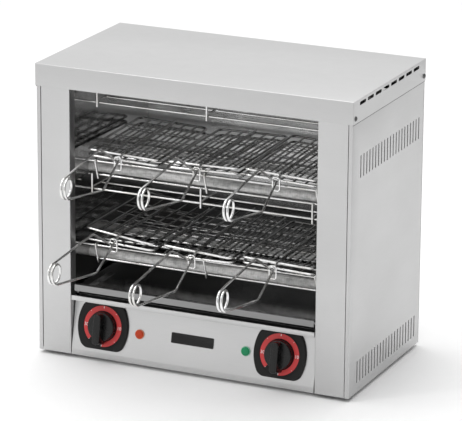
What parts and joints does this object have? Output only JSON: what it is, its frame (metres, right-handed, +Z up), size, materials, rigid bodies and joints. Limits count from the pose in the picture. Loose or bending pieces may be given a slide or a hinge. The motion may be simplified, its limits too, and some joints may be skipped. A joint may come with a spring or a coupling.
{
  "type": "clamp toaster",
  "caption": "Steel countertop toaster with quartz heating tubes, wire guards, sprung wire clamps on stacked tiers, timer knobs, pilot lamps and a crumb tray.",
  "frame": {"origin": "under the middle of the whole object, clamps and cable gland included, on the surface it stands on", "axes": "+X to the right seen from the front, +Y back from the control panel, +Z up"},
  "size_m": [0.4532, 0.4354, 0.4],
  "materials": {
    "cabinet_steel": "bright brushed sheet",
    "chamber_steel": "bright reflector sheet",
    "guard_wire": "bright wire",
    "clamp_wire": "polished wire",
    "milky_quartz": "milky, satin",
    "element_wire": "oxidised",
    "ceramic": "glazed ceramic",
    "dial_plastic": "satin black",
    "knob_plastic": "soft gloss black",
    "timer_housing": "plain",
    "shaft_steel": "turned",
    "orange_lens": "clear lens",
    "green_lens": "clear lens",
    "gland_plastic": "plain",
    "terminal_plastic": "plain",
    "foot_rubber": "plain",
    "screw_steel": "plain"
  },
  "bodies": {
    "cabinet": {"top_cover": "cabinet_steel", "side_panel_left": "cabinet_steel", "side_panel_right": "cabinet_steel", "rear_panel": "cabinet_steel", "base_plate": "cabinet_steel", "front_frame": "cabinet_steel", "control_panel": "cabinet_steel", "feet": "foot_rubber", "chamber_wall_left": "chamber_steel", "chamber_wall_right": "chamber_steel", "chamber_back": "chamber_steel", "chamber_roof": "chamber_steel", "chamber_floor": "chamber_steel", "quartz_tubes_top": "milky_quartz", "quartz_tubes_middle": "milky_quartz", "quartz_tubes_low": "milky_quartz", "heating_elements": "element_wire", "tube_end_caps": "ceramic", "rest_guard_middle": "guard_wire", "rest_guard_low": "guard_wire", "under_guard_top": "guard_wire", "under_guard_middle": "guard_wire", "dial_plates": "dial_plastic", "timer_left": "timer_housing", "timer_right": "timer_housing", "lamp_orange": "orange_lens", "lamp_green": "green_lens", "cable_gland": "gland_plastic", "terminal_block": "terminal_plastic", "screws": "screw_steel"},
    "crumb_tray": {"crumb_tray": "chamber_steel"},
    "left_knob": {"knob_left": "knob_plastic", "timer_shaft_left": "shaft_steel"},
    "right_knob": {"knob_right": "knob_plastic", "timer_shaft_right": "shaft_steel"},
    "clamp_top_left_base": {"clamp_top_left_lower_frame": "clamp_wire", "clamp_top_left_lower_grid": "clamp_wire"},
    "clamp_top_left_jaw": {"clamp_top_left_upper_frame": "clamp_wire", "clamp_top_left_upper_grid": "clamp_wire"},
    "clamp_top_middle_base": {"clamp_top_middle_lower_frame": "clamp_wire", "clamp_top_middle_lower_grid": "clamp_wire"},
    "clamp_top_middle_jaw": {"clamp_top_middle_upper_frame": "clamp_wire", "clamp_top_middle_upper_grid": "clamp_wire"},
    "clamp_top_right_base": {"clamp_top_right_lower_frame": "clamp_wire", "clamp_top_right_lower_grid": "clamp_wire"},
    "clamp_top_right_jaw": {"clamp_top_right_upper_frame": "clamp_wire", "clamp_top_right_upper_grid": "clamp_wire"},
    "clamp_low_left_base": {"clamp_low_left_lower_frame": "clamp_wire", "clamp_low_left_lower_grid": "clamp_wire"},
    "clamp_low_left_jaw": {"clamp_low_left_upper_frame": "clamp_wire", "clamp_low_left_upper_grid": "clamp_wire"},
    "clamp_low_middle_base": {"clamp_low_middle_lower_frame": "clamp_wire", "clamp_low_middle_lower_grid": "clamp_wire"},
    "clamp_low_middle_jaw": {"clamp_low_middle_upper_frame": "clamp_wire", "clamp_low_middle_upper_grid": "clamp_wire"},
    "clamp_low_right_base": {"clamp_low_right_lower_frame": "clamp_wire", "clamp_low_right_lower_grid": "clamp_wire"},
    "clamp_low_right_jaw": {"clamp_low_right_upper_frame": "clamp_wire", "clamp_low_right_upper_grid": "clamp_wire"}
  },
  "joints": [
    {"name": "crumb_tray_slide", "type": "slide", "parent": "cabinet", "child": "crumb_tray", "axis": [0, -1, 0], "range_m": [0, 0.15]},
    {"name": "left_timer_turn", "type": "hinge", "parent": "cabinet", "child": "left_knob", "pos_m": [-0.131, -0.04049, 0.0485], "axis": [0, 0.9822, -0.1878], "range_deg": [0, 300]},
    {"name": "right_timer_turn", "type": "hinge", "parent": "cabinet", "child": "right_knob", "pos_m": [0.125, -0.04049, 0.0485], "axis": [0, 0.9822, -0.1878], "range_deg": [0, 300]},
    {"name": "clamp_top_left_slide", "type": "slide", "parent": "cabinet", "child": "clamp_top_left_base", "axis": [0.0419, -0.9991, 0], "range_m": [0, 0.18]},
    {"name": "clamp_top_left_spring_hinge", "type": "hinge", "parent": "clamp_top_left_base", "child": "clamp_top_left_jaw", "pos_m": [-0.10382, -0.19362, 0.2838], "axis": [0.9991, 0.0419, 0], "range_deg": [0, 3.1], "stiffness_Nm_per_rad": 8, "springref_deg": -2.86},
    {"name": "clamp_top_middle_slide", "type": "slide", "parent": "cabinet", "child": "clamp_top_middle_base", "axis": [0.0105, -0.9999, 0], "range_m": [0, 0.18]},
    {"name": "clamp_top_middle_spring_hinge", "type": "hinge", "parent": "clamp_top_middle_base", "child": "clamp_top_middle_jaw", "pos_m": [0.0038, -0.19176, 0.2838], "axis": [0.9999, 0.0105, 0], "range_deg": [0, 3.1], "stiffness_Nm_per_rad": 8, "springref_deg": -2.86},
    {"name": "clamp_top_right_slide", "type": "slide", "parent": "cabinet", "child": "clamp_top_right_base", "axis": [0.0384, -0.9993, 0], "range_m": [0, 0.18]},
    {"name": "clamp_top_right_spring_hinge", "type": "hinge", "parent": "clamp_top_right_base", "child": "clamp_top_right_jaw", "pos_m": [0.11908, -0.18915, 0.2839], "axis": [0.9993, 0.0384, 0], "range_deg": [0, 3.1], "stiffness_Nm_per_rad": 8, "springref_deg": -2.86},
    {"name": "clamp_low_left_slide", "type": "slide", "parent": "cabinet", "child": "clamp_low_left_base", "axis": [-0.0314, -0.9995, 0], "range_m": [0, 0.18]},
    {"name": "clamp_low_left_spring_hinge", "type": "hinge", "parent": "clamp_low_left_base", "child": "clamp_low_left_jaw", "pos_m": [-0.12089, -0.19569, 0.1683], "axis": [0.9995, -0.0314, 0], "range_deg": [0, 1.7], "stiffness_Nm_per_rad": 8, "springref_deg": -2.86},
    {"name": "clamp_low_middle_slide", "type": "slide", "parent": "cabinet", "child": "clamp_low_middle_base", "axis": [-0.0209, -0.9998, 0], "range_m": [0, 0.18]},
    {"name": "clamp_low_middle_spring_hinge", "type": "hinge", "parent": "clamp_low_middle_base", "child": "clamp_low_middle_jaw", "pos_m": [-0.0026, -0.20294, 0.15961], "axis": [0.9998, -0.0209, 0], "range_deg": [0, 2.4], "stiffness_Nm_per_rad": 8, "springref_deg": -2.86},
    {"name": "clamp_low_right_slide", "type": "slide", "parent": "cabinet", "child": "clamp_low_right_base", "axis": [0.014, -0.9999, 0], "range_m": [0, 0.18]},
    {"name": "clamp_low_right_spring_hinge", "type": "hinge", "parent": "clamp_low_right_base", "child": "clamp_low_right_jaw", "pos_m": [0.11589, -0.19826, 0.1683], "axis": [0.9999, 0.014, 0], "range_deg": [0, 3.1], "stiffness_Nm_per_rad": 8, "springref_deg": -2.86}
  ]
}
